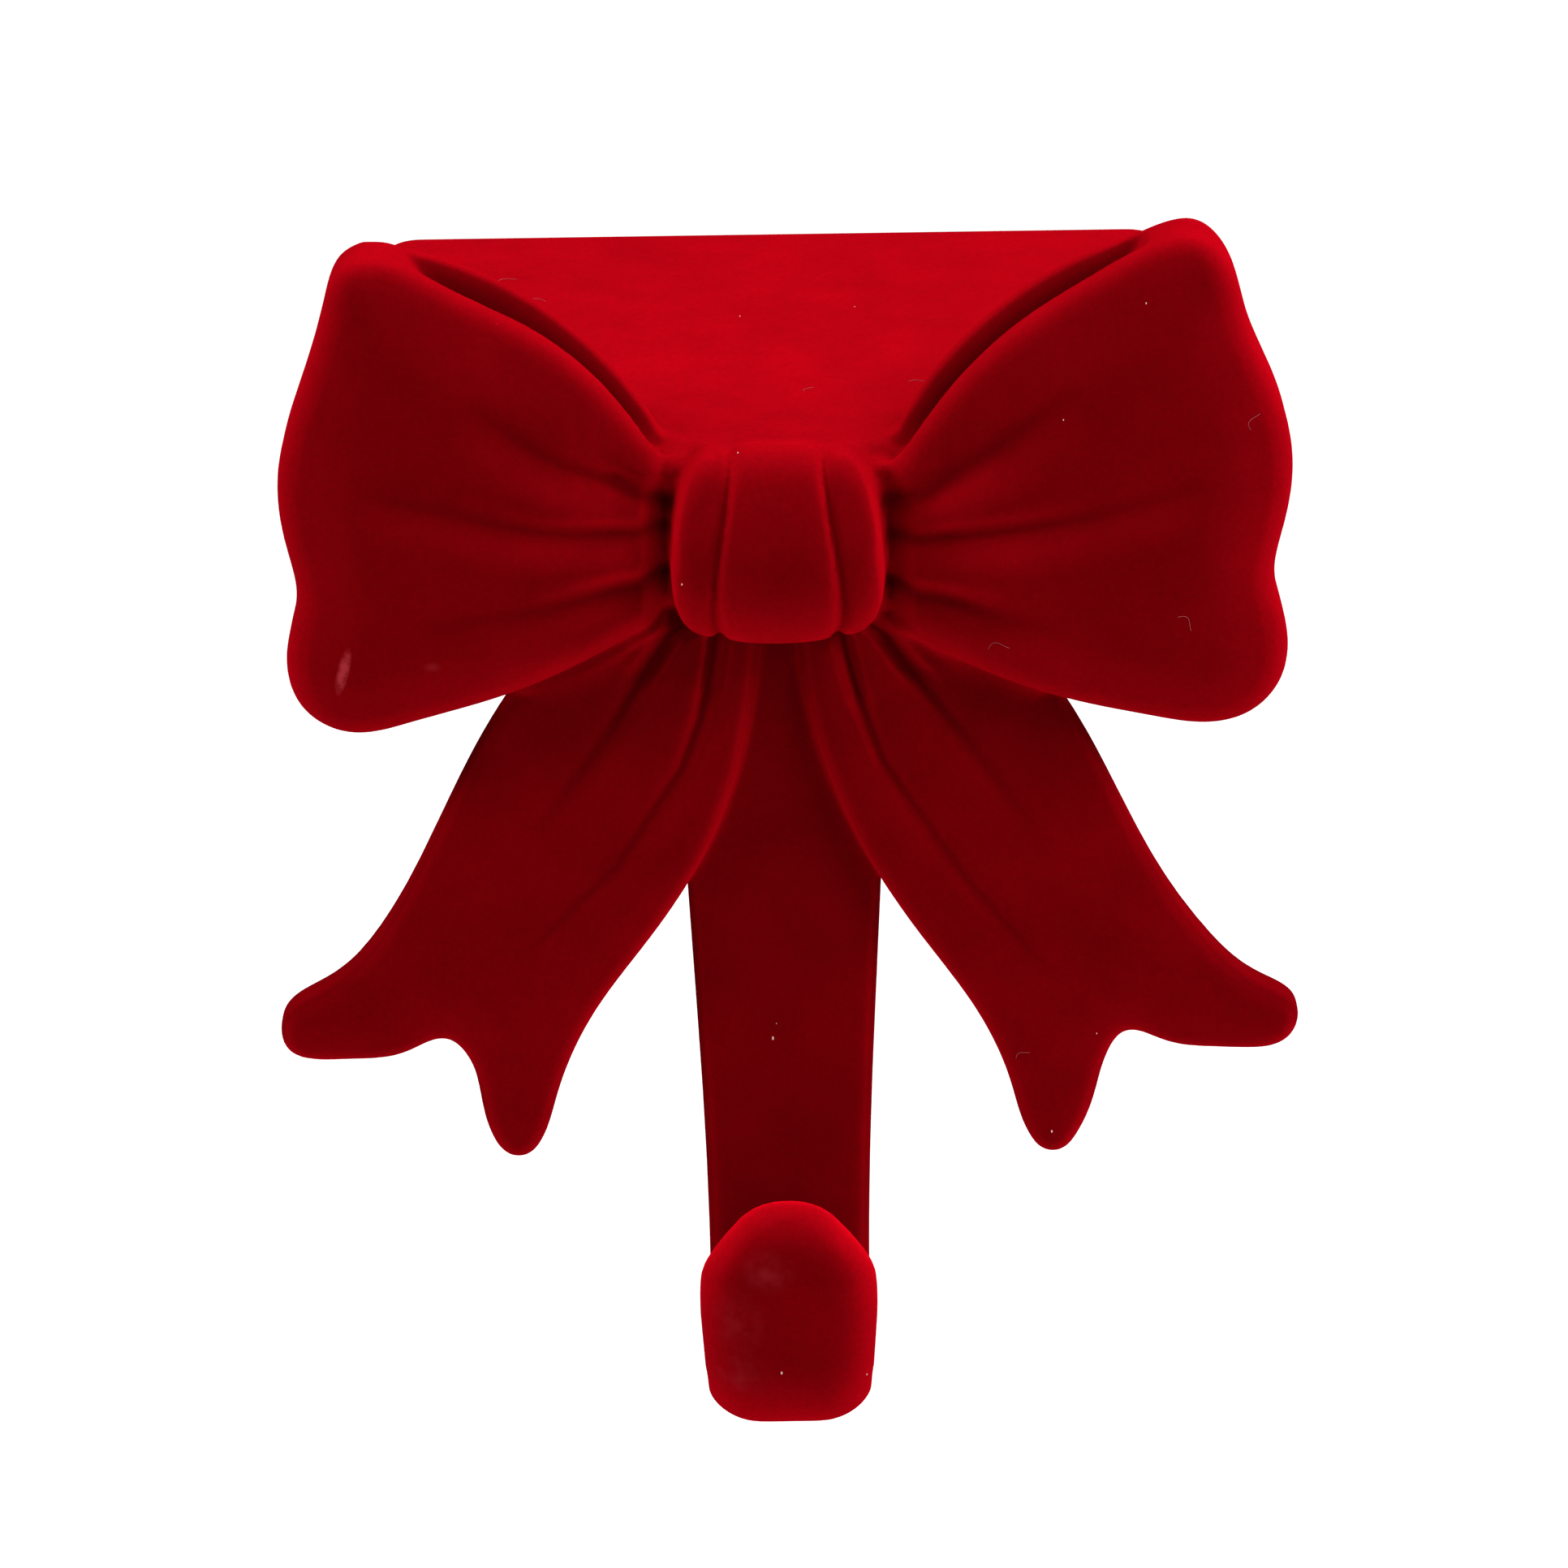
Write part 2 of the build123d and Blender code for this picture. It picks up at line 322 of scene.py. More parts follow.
front = eased(-normal[:, 1], *CREASE_FACING) * ramp(out, *CREASE_OUT)
pinch = (1 - ramp(across, *CREASE_PINCH)) * ramp(height - loop_foot, *CREASE_PINCH_FOOT)
pinch *= 1 - ramp(height, *CREASE_PINCH_TOP)
soften(casting, CREASE_ROUNDS, front * np.maximum(ramp(inside, *CREASE_INSIDE), pinch), only_depth=True)
soften(casting, KNOT_ROUNDS, on_knot_of(co))
soften(casting, HOOK_ROUNDS, in_hook)
even_skin(casting, FINE_VOXEL)

co = rows_of(casting, "co")
height = co[:, 2]
out = SHELF_FACE - co[:, 1]
across = np.abs(co[:, 0])
soften(casting, SKIN_ROUNDS, np.ones(len(co)))
tip = TIP_SOFTNESS * (ramp(-height, *HOOK_BELOW) * ramp(out, *TIP_OUT)) * ramp(height, *TIP_FROM)
corners = ramp(-height, *CORNER_BELOW) * ramp(across, *CORNER_ACROSS) * ramp(out, *CORNER_OUT)
soften(casting, CORNER_ROUNDS, np.maximum(corners, tip))
pinch = (1 - ramp(across, *PINCH_ACROSS)) * ramp(out, *PINCH_OUT) * (1 - on_knot_of(co))
pinch *= (1 - ramp(height, *CREASE_PINCH_TOP)) * ramp(height, *PINCH_FROM)
soften(casting, PINCH_ROUNDS, pinch)

# Gathers run from the knot out over loops and tails: narrow creases of the casting with round
# shoulders and a low ridge below. Painted shade darkens each crease and a painted highlight
# brightens the band below it. A crease is its depth and its upper and lower flank, a line is points across
# and up.
LOOP_CREASES = [
    [(-13, 6.5), (-18.5, 9.2), (-25, 12.4), (-32, 16.4), (-46, 27)],
    [(-13, 3.7), (-18.7, 4.4), (-33, 6.6), (-47.5, 9.9), (-63, 13.5)],
    [(-13, -2.3), (-18.2, -2.9), (-30, -4.4), (-42, -6.8), (-55, -8.5)],
    [(12, 5.5), (16.7, 7.9), (23.3, 11.4), (30.6, 16.7), (45, 28)],
    [(13, 1.4), (19.7, 2.8), (31, 5.2), (44, 7.4), (64, 12.8)],
    [(12, -4.6), (17.2, -5.1), (24, -5.9), (31, -7.6), (42, -10)],
]
TAIL_CREASES = [
    [(-12, -7), (-15.4, -12.2), (-19, -17.8), (-25.7, -28.3), (-38, -45)],
    [(-9.5, -8), (-10.2, -16), (-12.2, -26.6), (-15, -34.3), (-25.3, -49.7), (-41, -65)],
    [(11, -7), (14.4, -11.8), (20, -20.4), (26.4, -28.2), (38, -44)],
    [(8.8, -8), (9.9, -15.5), (12.1, -24), (15.6, -33.9), (28.2, -52.6), (43, -70)],
]
LOOP_CREASE = (1.4 * MM, 1.7 * MM, 3.4 * MM)
TAIL_CREASE = (1.1 * MM, 1.0 * MM, 1.0 * MM)
# Painted shade and highlight of a crease: how dark, where and how wide the painted shade lies, then how
# bright, where and how wide the painted highlight lies.
LOOP_PAINTED_SHADE = (0.42, 0.9 * MM, 1.2 * MM, 0.28, 3.2 * MM, 2.4 * MM)
TAIL_PAINTED_SHADE = (0.42, 0.0 * MM, 0.9 * MM, 0.12, 3.0 * MM, 2.0 * MM)
CREASE_SPREAD = 0.4
CREASE_SHARP = 1.6
CREASE_FADE = 0.7
PAINTED_SHADE_FADE = 0.5
RIDGE_AWAY = 1.6
RIDGE_WIDE = 0.8
RIDGE_HIGH = 0.25
RIBBON_FACING = (0.1, 0.5)
RIBBON_OUT = (7, 9)
KNOT_BLEND = 0.5 * MM
KNOT_UNDER = (9, 11)
GATHER_START = 4 * MM
TUCK_DEEP = 3.2 * MM
TUCK_START = 1 * MM
TUCK_END = 5 * MM
TUCK_FOOT = (-13, -9)
TUCK_TOP = (9, 15)


def along_line(line, co):
    """How far along a line each vertex lies, from 0 to 1, and how far above it, seen from the front."""
    corners = np.array(line) * MM
    lengths = np.linalg.norm(np.diff(corners, axis=0), axis=1)
    starts = np.concatenate(([0], np.cumsum(lengths)))
    best = np.full(len(co), 1.0)
    share = np.zeros(len(co))
    seen = co[:, [0, 2]]
    for i, length in enumerate(lengths):
        run = (corners[i + 1] - corners[i]) / length
        reach = np.clip((seen - corners[i]) @ run, 0, length)
        off = seen - corners[i] - reach[:, None] * run
        above = np.sign(off @ np.array([-run[1], run[0]]) * np.sign(run[0]))
        beside = np.linalg.norm(off, axis=1)
        nearer = beside < np.abs(best)
        best[nearer] = (beside * above)[nearer]
        share[nearer] = (starts[i] + reach[nearer]) / starts[-1]
    return share, best


def hump(lengths, wide):
    """1 at length 0, falling off to both sides like a rounded hump."""
    return np.exp(-((lengths / wide) ** 2))


co = rows_of(casting, "co")
normal = rows_of(casting, "normal")
height = co[:, 2]
out = SHELF_FACE - co[:, 1]
across = np.abs(co[:, 0])
beside_knot = eased(across, KNOT_HALF - KNOT_BLEND, KNOT_HALF + KNOT_BLEND)
under_knot = ramp(-height, *KNOT_UNDER)
ribbon = eased(-normal[:, 1], *RIBBON_FACING) * ramp(out, *RIBBON_OUT)
ribbon *= np.maximum(beside_knot, under_knot)
push = np.zeros(len(co))
# Painted shade and highlight for each vertex, 1 where none is painted.
painted_shading = np.ones(len(co))
for lines, crease, crease_shading in ((LOOP_CREASES, LOOP_CREASE, LOOP_PAINTED_SHADE), (TAIL_CREASES, TAIL_CREASE, TAIL_PAINTED_SHADE)):
    deep, high_flank, low_flank = crease
    dark, dark_at, dark_wide, light, light_at, light_wide = crease_shading
    for line in lines:
        share, above = along_line(line, co)
        wider = 1 + CREASE_SPREAD * share
        flank = np.where(above > 0, above / high_flank, -above / low_flank)
        valley = np.exp(-((flank / wider) ** CREASE_SHARP))
        ridge = hump(-above - RIDGE_AWAY * low_flank * wider, RIDGE_WIDE * low_flank * wider)
        push += deep * (1 - share) ** CREASE_FADE * (valley - RIDGE_HIGH * ridge)
        # Painted shade in the crease and painted highlight below it.
        painted_shift = light * hump(above + light_at, light_wide) - dark * hump(above - dark_at, dark_wide)
        painted_shading += painted_shift * (1 - share) ** PAINTED_SHADE_FADE * ribbon
push *= np.maximum(eased(across, KNOT_HALF, KNOT_HALF + GATHER_START), under_knot)
tuck = TUCK_DEEP * (1 - eased(across, KNOT_HALF + TUCK_START, KNOT_HALF + TUCK_END))
tuck *= ramp(height, *TUCK_FOOT) * (1 - ramp(height, *TUCK_TOP))
co[:, 1] += ribbon * (push + tuck * beside_knot)

# The knot is the cast band round the bow's middle: a barrel whose wide middle strip lies over
# two narrow ones, all with round edges. Two grooves part the strips; painted shade darkens them
# and a painted highlight brightens the middle strip beside them. Its sides are half widths at several
# heights.
KNOT_OUT = 15.8 * MM
KNOT_HEIGHT = 3.5 * MM
KNOT_DEEP = 12.9 * MM
KNOT_TALL = 15.8 * MM
KNOT_SIDE = ((-10, 14.6), (-7, 15.5), (-4, 16.0), (1, 16.2), (7, 15.7), (13, 14.7), (18, 13.5))
KNOT_SHELL = (0.7, 0.8)
BAND_CROWN = 1.6 * MM
BAND_ROUND = 0.92
BAND_OUT = (13, 17)
# Painted highlight on the middle strip beside each groove.
BAND_PAINTED_HIGHLIGHT = (0.14, 3 * MM)
GROOVE_TOP = 7.9 * MM
GROOVE_FOOT = 9.5 * MM
GROOVE_RUN = (-8, 18)
GROOVE_DEEP = 0.9 * MM
GROOVE_WIDE = 0.8 * MM
GROOVE_SHARP = 1.5
# Painted shade in each groove.
GROOVE_PAINTED_SHADE = (0.35, 0.3 * MM, 0.8 * MM)
GROOVE_SHADING_BELOW = (-18, -12)
SHOULDER_FROM = 10.5 * MM
SHOULDER_DROP = 3.6 * MM

axis = np.array([0, SHELF_FACE - KNOT_OUT, KNOT_HEIGHT])
spoke = (co - axis) * np.array([0, 1, 1])
reach = np.maximum(np.linalg.norm(spoke, axis=1), NO_ZERO)
spoke /= reach[:, None]
full = 1 / np.hypot(spoke[:, 1] / KNOT_DEEP, spoke[:, 2] / KNOT_TALL)
groove_at = GROOVE_FOOT + (GROOVE_TOP - GROOVE_FOOT) * ramp(height, *GROOVE_RUN)
crown = BAND_CROWN * (np.sqrt(1 - BAND_ROUND * np.minimum(across / groove_at, 1) ** 2) - 1)
groove = GROOVE_DEEP * np.exp(-((np.abs(across - groove_at) / GROOVE_WIDE) ** GROOVE_SHARP))
past = np.clip((across - SHOULDER_FROM) / (KNOT_HALF - SHOULDER_FROM), 0, 1)
shoulder = SHOULDER_DROP * (1 - np.sqrt(1 - past**2))
move = full + crown - groove - shoulder - reach
move = np.where(across < SHOULDER_FROM, move, np.minimum(move, 0))
on_band = (1 - beside_knot) * ramp(out, *BAND_OUT) * ramp(height, *KNOT_FOOT)
co += spoke * (move * on_band * eased(reach / full, *KNOT_SHELL))[:, None]
light, light_wide = BAND_PAINTED_HIGHLIGHT
dark, dark_at, dark_wide = GROOVE_PAINTED_SHADE
# Painted highlight on the middle strip beside the grooves and painted shade in them.
painted_shift = light * np.exp(-(groove_at - across) / light_wide) * (across < groove_at)
painted_shift -= dark * hump(across - groove_at - dark_at, dark_wide)
painted_shading += painted_shift * on_band * ramp(-height, *GROOVE_SHADING_BELOW)
side = np.interp(height, [z * MM for z, half in KNOT_SIDE], [half * MM for z, half in KNOT_SIDE])
co[:, 0] *= 1 + (side / KNOT_HALF - 1) * on_knot_of(co)

# Each loop is cast with an open pocket behind its front rim. Beside the knot the pocket runs
# out as a shallow trough in the loop's upper edge.
TROUGH_DEEP = 1.2 * MM
TROUGH_FACING = (0.2, 0.6)
TROUGH_BACK = (5.5, 8)
TROUGH_FRONT = (11.5, 13)
TROUGH_STARTS = (16, 18)
TROUGH_ENDS = (19, 24)
TROUGH_ABOVE = (13, 15)
LAST_ROUNDS = 3

trough = eased(normal[:, 2], *TROUGH_FACING) * ramp(out, *TROUGH_BACK) * (1 - ramp(out, *TROUGH_FRONT))
trough *= ramp(across, *TROUGH_STARTS) * (1 - ramp(across, *TROUGH_ENDS)) * ramp(height, *TROUGH_ABOVE)
co[:, 2] -= TROUGH_DEEP * trough
put_back(casting, co)
soften(casting, LAST_ROUNDS, np.ones(len(co)))

# Painted shade darkens the tucks beside the knot and the thin edges of tails and strap, except where
# those face down, and a painted highlight brightens the tongue's rim. The painted shading value of
# each vertex keeps this, with the painted shade and highlight of the creases and grooves.
# Painted shade in the tucks and along thin edges, painted highlight round the tongue's rim.
TUCK_PAINTED_SHADE = 0.42
TUCK_SHADE_ACROSS = (17.5, 21.5)
TUCK_SHADE_OUT = (8, 11)
TUCK_SHADE_FOOT = (-14, -10)
TUCK_SHADE_TOP = (8, 15)
EDGE_PAINTED_SHADE = 0.42
EDGE_FACING = (0.1, 0.5)
EDGE_BELOW = (1, 4)
EDGE_TURNED_UP = (-0.5, 0.0)
TONGUE_PAINTED_HIGHLIGHT = (0.75, 7.5 * MM)
TONGUE_HIGHLIGHT_OUT = (13, 18)
TONGUE_HIGHLIGHT_FROM = (-122, -104)
PAINTED_SHADING_RANGE = (0.35, 2.0)
TRIANGLES = 185000

# Painted shade in the tucks beside the knot.
tuck_shade = (1 - ramp(across, *TUCK_SHADE_ACROSS)) * beside_knot * ramp(out, *TUCK_SHADE_OUT)
painted_shading -= TUCK_PAINTED_SHADE * tuck_shade * ramp(height, *TUCK_SHADE_FOOT) * (1 - ramp(height, *TUCK_SHADE_TOP))
on_tongue = ramp(-height, *HOOK_BELOW) * ramp(out, *TONGUE_HIGHLIGHT_OUT)
# Painted shade along the thin edges of tails and strap.
edge_shade = eased(1 + normal[:, 1], *EDGE_FACING) * ramp(foot_of_loops(across) - height, *EDGE_BELOW)
edge_shade *= (1 - on_tongue) * eased(normal[:, 2], *EDGE_TURNED_UP)
painted_shading -= EDGE_PAINTED_SHADE * edge_shade
# Painted highlight round the tongue's rim.
rim_highlight, rim_wide = TONGUE_PAINTED_HIGHLIGHT
crown = np.maximum(height - TONGUE_CROWN, 0) / TONGUE_RISE
rim = TONGUE_HALF * (1 - np.hypot(across / TONGUE_HALF, crown))
painted_shading += rim_highlight * (1 - eased(rim, 0, rim_wide)) * on_tongue * ramp(height, *TONGUE_HIGHLIGHT_FROM)
# The painted shade and highlight are kept as a vertex attribute on the casting.
shading_attribute = casting.data.attributes.new("painted_shading", "FLOAT", "POINT")
shading_attribute.data.foreach_set("value", np.clip(painted_shading, *PAINTED_SHADING_RANGE))

thin = casting.modifiers.new("fewer faces", "DECIMATE")
thin.ratio = min(1.0, TRIANGLES / (2 * len(casting.data.polygons)))
apply_all(casting)
bpy.ops.object.shade_smooth()

# The flock is a short deep red velvet pile, blown onto the glued casting. A painted sheen makes
# its base colour dark where the surface is seen straight on and brighter where it is seen at a slant,
# and the painted shade and highlight of each vertex multiply it. It is scuffed and tufted on
# the left loop and pressed in places on the tongue.
FLOCK_RED = (0.124, 0.0002, 0.0016)
# Painted sheen: the base colour's brightness at each slant to the view, from straight on to edge on.
PAINTED_SHEEN_GLOW = ((0, 1.0), (0.07, 1.02), (0.15, 1.28), (0.25, 1.7), (0.4, 2.25), (0.6, 2.85), (1.0, 3.7))
SHEEN_RED = (1.0, 0.003, 0.018, 1)
SHEEN_WEIGHT = 0.05
PATCH_MOTTLE = (90, 0.92, 1.08)
GRAIN_MOTTLE = (1300, 0.93, 1.07)
SCUFF_RED = (0.32, 0.022, 0.03, 1)
SCUFF_AT = (-65.6, -72, -14.7)
SCUFF_TURN = 15
SCUFF_SIZE = (1.0, 9, 4.4)
SCUFF_STRENGTH = 2.2
SCUFF_PATCHES = (700, 0.1, 1.3)
TUFT_AT = (-52.1, -72.5, -13.8)
TUFT_SIZE = (1.6, 6, 1.0)
TUFT_STRENGTH = 0.3
PRESSED = (
    ((-7.9, -83, -119.6), (5, 10, 7)),
    ((-8.2, -82, -129), (6, 12, 5)),
    ((-3.3, -83, -111), (5, 10, 4)),
)
PRESSED_STRENGTH = 0.24
PRESSED_PATCHES = (450, 0.0, 1.0)
PILE_GRAIN = 2600
PILE_BUMP = 0.25
PILE_HEIGHT = 0.1 * MM

flock = bpy.data.materials.new("velvet_pile")
flock.use_nodes = True
nodes = flock.node_tree.nodes
links = flock.node_tree.links
shader = nodes["Principled BSDF"]
place = nodes.new("ShaderNodeTexCoord")


def number(operation, first, second):
    """A node for one step of arithmetic with two numbers or outputs of nodes."""
    step = nodes.new("ShaderNodeMath")
    step.operation = operation
    for socket, value in zip(step.inputs, (first, second)):
        if isinstance(value, (int, float)):
            socket.default_value = value
        else:
            links.new(value, socket)
    return step.outputs[0]


def noise(scale, detail):
    """An uneven field over the casting, with patches of 1 / scale metres."""
    field = nodes.new("ShaderNodeTexNoise")
    field.inputs["Scale"].default_value = scale
    field.inputs["Detail"].default_value = detail
    links.new(place.outputs["Object"], field.inputs["Vector"])
    return field.outputs["Fac"]


def cloud(scale, low, high):
    """An uneven field that is spread out from low to high."""
    spread = nodes.new("ShaderNodeMapRange")
    spread.inputs["From Min"].default_value = 0.3
    spread.inputs["From Max"].default_value = 0.7
    spread.inputs["To Min"].default_value = low
    spread.inputs["To Max"].default_value = high
    links.new(noise(scale, 3), spread.inputs["Value"])
    return spread.outputs["Result"]


def spot(middle, turn, size, strength):
    """A long mark on the casting: its strength in the middle and 0 at its rim."""
    patch = nodes.new("ShaderNodeMapping")
    patch.vector_type = "TEXTURE"
    patch.inputs["Location"].default_value = Vector(middle) * MM
    patch.inputs["Rotation"].default_value = (0, math.radians(turn), 0)
    patch.inputs["Scale"].default_value = Vector(size) * MM
    links.new(place.outputs["Object"], patch.inputs["Vector"])
    fade = nodes.new("ShaderNodeTexGradient")
    fade.gradient_type = "SPHERICAL"
    links.new(patch.outputs["Vector"], fade.inputs["Vector"])
    return number("MULTIPLY", fade.outputs["Fac"], strength)


# Painted sheen: the base colour is brightened with the surface's slant to the view.
aslant = nodes.new("ShaderNodeLayerWeight")
aslant.inputs["Blend"].default_value = 0.5
painted_sheen = nodes.new("ShaderNodeValToRGB")
stops = painted_sheen.color_ramp.elements
while len(stops) < len(PAINTED_SHEEN_GLOW):
    stops.new(0.5)
for stop, (slant, glow) in zip(stops, PAINTED_SHEEN_GLOW):
    stop.position = slant
    stop.color = tuple(glow * part for part in FLOCK_RED) + (1,)
links.new(aslant.outputs["Facing"], painted_sheen.inputs["Fac"])

# The painted shade and highlight attribute, with the random mottle, multiplies the base colour.
shading_reader = nodes.new("ShaderNodeAttribute")
shading_reader.attribute_name = "painted_shading"
mottle = number("MULTIPLY", cloud(*PATCH_MOTTLE), cloud(*GRAIN_MOTTLE))
pile_with_painted_light = nodes.new("ShaderNodeMix")
pile_with_painted_light.data_type = "RGBA"
pile_with_painted_light.blend_type = "MULTIPLY"
pile_with_painted_light.inputs["Factor"].default_value = 1.0
links.new(painted_sheen.outputs["Color"], pile_with_painted_light.inputs["A"])
links.new(number("MULTIPLY", shading_reader.outputs["Fac"], mottle), pile_with_painted_light.inputs["B"])

scuff = number("MULTIPLY", spot(SCUFF_AT, SCUFF_TURN, SCUFF_SIZE, SCUFF_STRENGTH), cloud(*SCUFF_PATCHES))
marks = number("MAXIMUM", scuff, spot(TUFT_AT, 0, TUFT_SIZE, TUFT_STRENGTH))
for middle, size in PRESSED:
    flattened = number("MULTIPLY", spot(middle, 0, size, PRESSED_STRENGTH), cloud(*PRESSED_PATCHES))
    marks = number("MAXIMUM", marks, flattened)
worn = nodes.new("ShaderNodeMix")
worn.data_type = "RGBA"
worn.clamp_factor = True
links.new(marks, worn.inputs["Factor"])
links.new(pile_with_painted_light.outputs["Result"], worn.inputs["A"])
worn.inputs["B"].default_value = SCUFF_RED
links.new(worn.outputs["Result"], shader.inputs["Base Color"])

shader.inputs["Roughness"].default_value = 1.0
shader.inputs["Specular IOR Level"].default_value = 0.0
shader.inputs["Sheen Weight"].default_value = SHEEN_WEIGHT
shader.inputs["Sheen Roughness"].default_value = 0.5
shader.inputs["Sheen Tint"].default_value = SHEEN_RED
bump = nodes.new("ShaderNodeBump")
bump.inputs["Strength"].default_value = PILE_BUMP
bump.inputs["Distance"].default_value = PILE_HEIGHT
links.new(noise(PILE_GRAIN, 2), bump.inputs["Height"])
links.new(bump.outputs["Normal"], shader.inputs["Normal"])
casting.data.materials.clear()
casting.data.materials.append(flock)
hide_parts("holder_body")
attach(casting, "root")

# Lint is loose fluff caught in the pile: white specks and thin curled reddish fibres, on the
# bow, on the hook and on the plate. A speck is two places and a size, a fibre is two places,
# a length, a turn in degrees and a curl.
FRONT_SPECKS = (
    (-1.9, -81.9, 0.26), (-1.3, -79.4, 0.1), (-1.3, -128.1, 0.22), (12.0, -130.5, 0.16), (41.5, -96.0, 0.2),
    (48.4, -79.0, 0.12), (54.7, 41.2, 0.14), (42.5, 24.0, 0.12), (-5.7, 18.2, 0.15), (-14.3, 0.6, 0.16),
)
PLATE_SPECKS = ((-5.5, 3.2, 0.14), (12.9, 7.4, 0.12))
SPECK_FORM = (0.7, 0.7, 1.3)
FRONT_FIBRES = (
    (32.9, -12.3, 3.2, 20, 0.9), (60.9, -8.2, 3.0, -35, 0.8),
    (70.8, 22.5, 2.6, 70, 0.7), (36.8, -82.5, 2.4, 40, 0.5),
)
PLATE_FIBRES = (
    (-43.5, 24.7, 3.0, 20, 0.6), (-37.8, 13.4, 2.6, -30, 0.5),
    (5.0, -34.4, 2.4, 60, 0.5), (21.9, -31.2, 2.6, 10, 0.6),
)
FIBRE_THICK = 0.035 * MM
FIBRE_STEPS = 8
FIBRE_BOW = 1.3
LINT_WHITE = (0.62, 0.36, 0.34, 1)
FIBRE_RED = (0.3, 0.05, 0.055, 1)
FAR_FRONT = -200
FAR_ABOVE = 100


def on_front(x, z):
    """The point of the casting seen straight from the front at x, z."""
    return casting.ray_cast(Vector((x, FAR_FRONT, z)) * MM, Vector((0, 1, 0)))[1]


def on_plate(x, y):
    """The point of the casting seen straight from above at x, y."""
    return casting.ray_cast(Vector((x, y, FAR_ABOVE)) * MM, Vector((0, 0, -1)))[1]


def fluff(name, colour):
    """Matt fluff of one colour."""
    dull = bpy.data.materials.new(name)
    dull.use_nodes = True
    dull.node_tree.nodes["Principled BSDF"].inputs["Base Color"].default_value = colour
    dull.node_tree.nodes["Principled BSDF"].inputs["Roughness"].default_value = 1.0
    return dull


def speck(point, size):
    """A longish crumb of lint lying on the casting."""
    bpy.ops.mesh.primitive_ico_sphere_add(subdivisions=2, radius=size * MM, location=point)
    crumb = bpy.context.object
    crumb.scale = SPECK_FORM
    return crumb


def fibre(point_at, lift, x, up, length, turn, curl):
    """A thin curled fibre that follows the casting."""
    turn = math.radians(turn)
    line = bpy.data.curves.new("fibre", "CURVE")
    line.dimensions = "3D"
    line.bevel_depth = FIBRE_THICK
    line.bevel_resolution = 1
    run = line.splines.new("POLY")
    run.points.add(FIBRE_STEPS)
    for i, bend in enumerate(run.points):
        t = i / FIBRE_STEPS
        far = (t - 0.5) * length
        side = curl * math.sin(math.pi * t * FIBRE_BOW)
        point = point_at(
            x + far * math.cos(turn) - side * math.sin(turn),
            up + far * math.sin(turn) + side * math.cos(turn),
        )
        bend.co = (*(point + lift * FIBRE_THICK * 2), 1)
    thread = bpy.data.objects.new("fibre", line)
    scene.collection.objects.link(thread)
    select_only(thread)
    bpy.ops.object.convert(target="MESH")
    return bpy.context.object


bpy.context.view_layer.update()
specks = [speck(on_front(x, z), size) for x, z, size in FRONT_SPECKS]
specks += [speck(on_plate(x, y), size) for x, y, size in PLATE_SPECKS]
fibres = [fibre(on_front, Vector((0, -1, 0)), *row) for row in FRONT_FIBRES]
fibres += [fibre(on_plate, Vector((0, 0, 1)), *row) for row in PLATE_FIBRES]
for some, dull in ((specks, fluff("white_fluff", LINT_WHITE)), (fibres, fluff("red_fluff", FIBRE_RED))):
    for bit in some:
        bit.data.materials.append(dull)
bits = specks + fibres
select_only(bits[0])
for bit in bits:
    bit.select_set(True)
bpy.ops.object.join()
lint = bpy.context.object
lint.name = "lint"
bpy.ops.object.transform_apply(location=True, rotation=True, scale=True)
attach(lint, "root")

# The view of the photograph: from in front, well above the bow, with a long lens
# and the camera tipped a little to one side.
CAMERA_PLACE = Vector((0.43, -926.87, 311.58)) * MM
CAMERA_DOWN = math.radians(22)
CAMERA_ROLL = math.radians(0.85)
CAMERA_LENS = 139.75
CAMERA_SENSOR = 36

bpy.ops.object.camera_add(location=CAMERA_PLACE)
camera = bpy.context.object
camera.rotation_mode = "QUATERNION"
ahead = Vector((0, math.cos(CAMERA_DOWN), -math.sin(CAMERA_DOWN)))
tipped = Matrix.Rotation(-CAMERA_ROLL, 3, "Z").to_quaternion()
camera.rotation_quaternion = ahead.to_track_quat("-Z", "Y") @ tipped
camera.data.lens = CAMERA_LENS
camera.data.sensor_width = CAMERA_SENSOR
scene.camera = camera

# A matt white floor lies far enough under the hanging hook for its shadow to stay soft. It
# shows white to the camera and in reflections, and throws a weaker light up at the holder.
FLOOR_DROP = 300 * MM
FLOOR_SIZE = 30.0
FLOOR_GREY = (0.5, 0.5, 0.5, 1)
FLOOR_WHITE = 0.95
FLOOR_LIGHT = 0.3

bpy.ops.mesh.primitive_plane_add(size=FLOOR_SIZE, location=(0, 0, cad_low.z - FLOOR_DROP))
floor = bpy.context.object
floor.name = "floor"
white = bpy.data.materials.new("white_floor")
white.use_nodes = True
white_nodes = white.node_tree.nodes
white_links = white.node_tree.links
floor_shader = white_nodes["Principled BSDF"]
floor_shader.inputs["Base Color"].default_value = FLOOR_GREY
floor_shader.inputs["Roughness"].default_value = 0.9
ray = white_nodes.new("ShaderNodeLightPath")
seen = ray.outputs["Is Camera Ray"]
for kind in ("Is Glossy Ray", "Is Transmission Ray"):
    either = white_nodes.new("ShaderNodeMath")
    either.operation = "MAXIMUM"
    white_links.new(seen, either.inputs[0])
    white_links.new(ray.outputs[kind], either.inputs[1])
    seen = either.outputs[0]
floor_level = white_nodes.new("ShaderNodeMapRange")
floor_level.inputs["To Min"].default_value = FLOOR_LIGHT
floor_level.inputs["To Max"].default_value = FLOOR_WHITE
white_links.new(seen, floor_level.inputs["Value"])
floor_glow = white_nodes.new("ShaderNodeEmission")
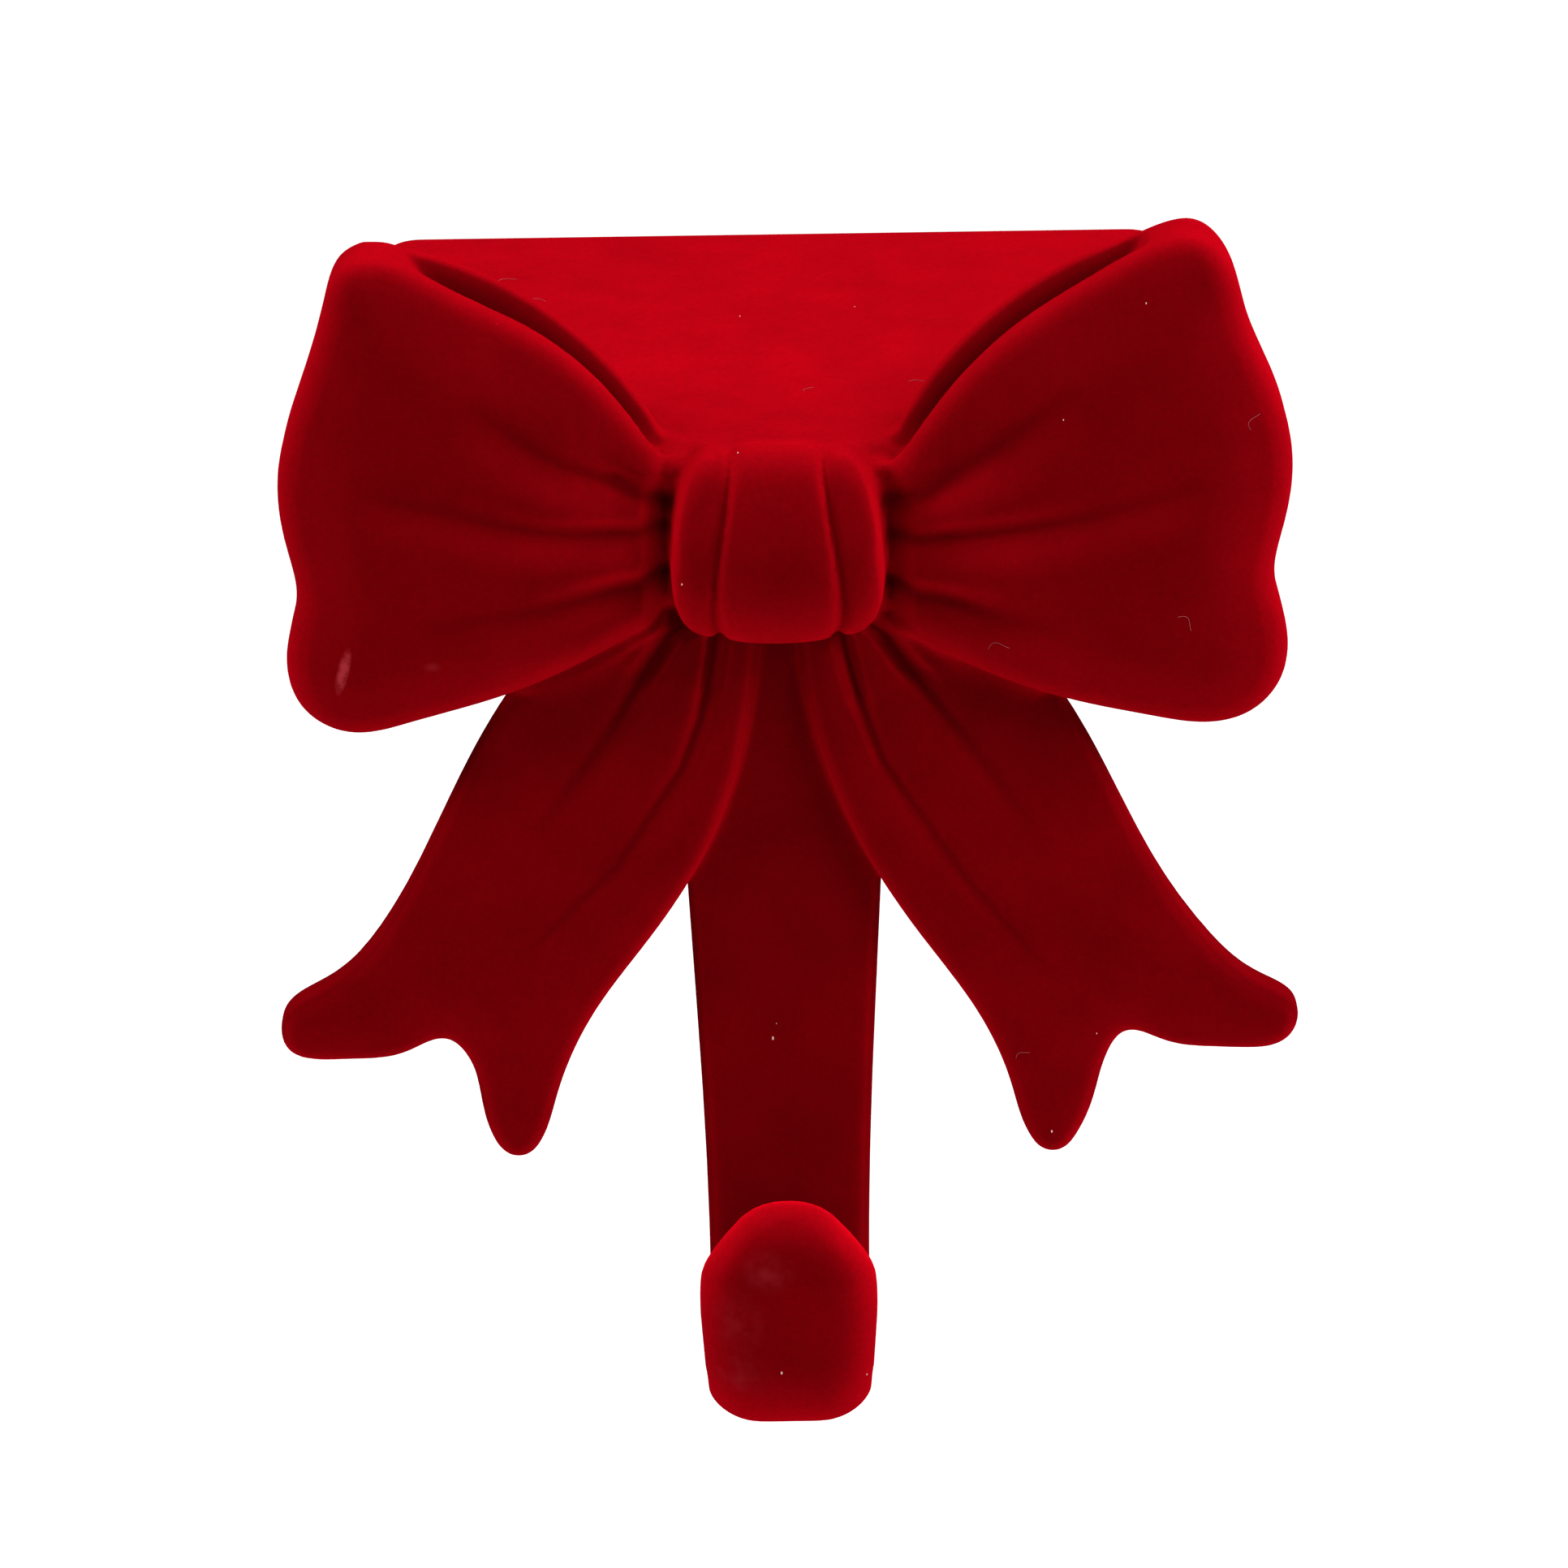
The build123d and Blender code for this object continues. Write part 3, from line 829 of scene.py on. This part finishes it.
white_links.new(floor_level.outputs["Result"], floor_glow.inputs["Strength"])
both = white_nodes.new("ShaderNodeAddShader")
white_links.new(floor_shader.outputs[0], both.inputs[0])
white_links.new(floor_glow.outputs[0], both.inputs[1])
white_links.new(both.outputs[0], white_nodes["Material Output"].inputs["Surface"])
floor.data.materials.append(white)

# The studio round it is white to the camera and gives no light of its own. Five square soft
# boxes light the holder: on the left, in front, on the right, far to the right and above.
BOW_MIDDLE = Vector((0, -60, -20)) * MM
LIGHT_AWAY = 1350 * MM
LIGHT_SIZE = 550 * MM
SOFT_BOXES = (
    ("left", -75, 35, 11),
    ("front", 5, 20, 4.6),
    ("right", 47, 40, 10.5),
    ("far right", 85, 30, 9),
    ("above", 0, 78, 7.8),
)


def soft_light(name, turn, rise, power):
    """A square soft box turned to the bow, by its angle to the right of the front and above the floor."""
    turn = math.radians(turn)
    rise = math.radians(rise)
    towards = Vector((math.sin(turn) * math.cos(rise), -math.cos(turn) * math.cos(rise), math.sin(rise)))
    bpy.ops.object.light_add(type="AREA", location=BOW_MIDDLE + towards * LIGHT_AWAY)
    lamp = bpy.context.object
    lamp.name = name
    lamp.data.shape = "SQUARE"
    lamp.data.size = LIGHT_SIZE
    lamp.data.energy = power
    lamp.rotation_mode = "QUATERNION"
    lamp.rotation_quaternion = (-towards).to_track_quat("-Z", "Y")


sky = bpy.data.worlds.new("studio")
scene.world = sky
sky.use_nodes = True
sky_shader = sky.node_tree.nodes["Background"]
sky_shader.inputs["Color"].default_value = (1, 1, 1, 1)
sky_ray = sky.node_tree.nodes.new("ShaderNodeLightPath")
sky_level = sky.node_tree.nodes.new("ShaderNodeMapRange")
sky_level.inputs["To Min"].default_value = 0.0
sky_level.inputs["To Max"].default_value = 1.0
sky.node_tree.links.new(sky_ray.outputs["Is Camera Ray"], sky_level.inputs["Value"])
sky.node_tree.links.new(sky_level.outputs["Result"], sky_shader.inputs["Strength"])
for soft_box in SOFT_BOXES:
    soft_light(*soft_box)
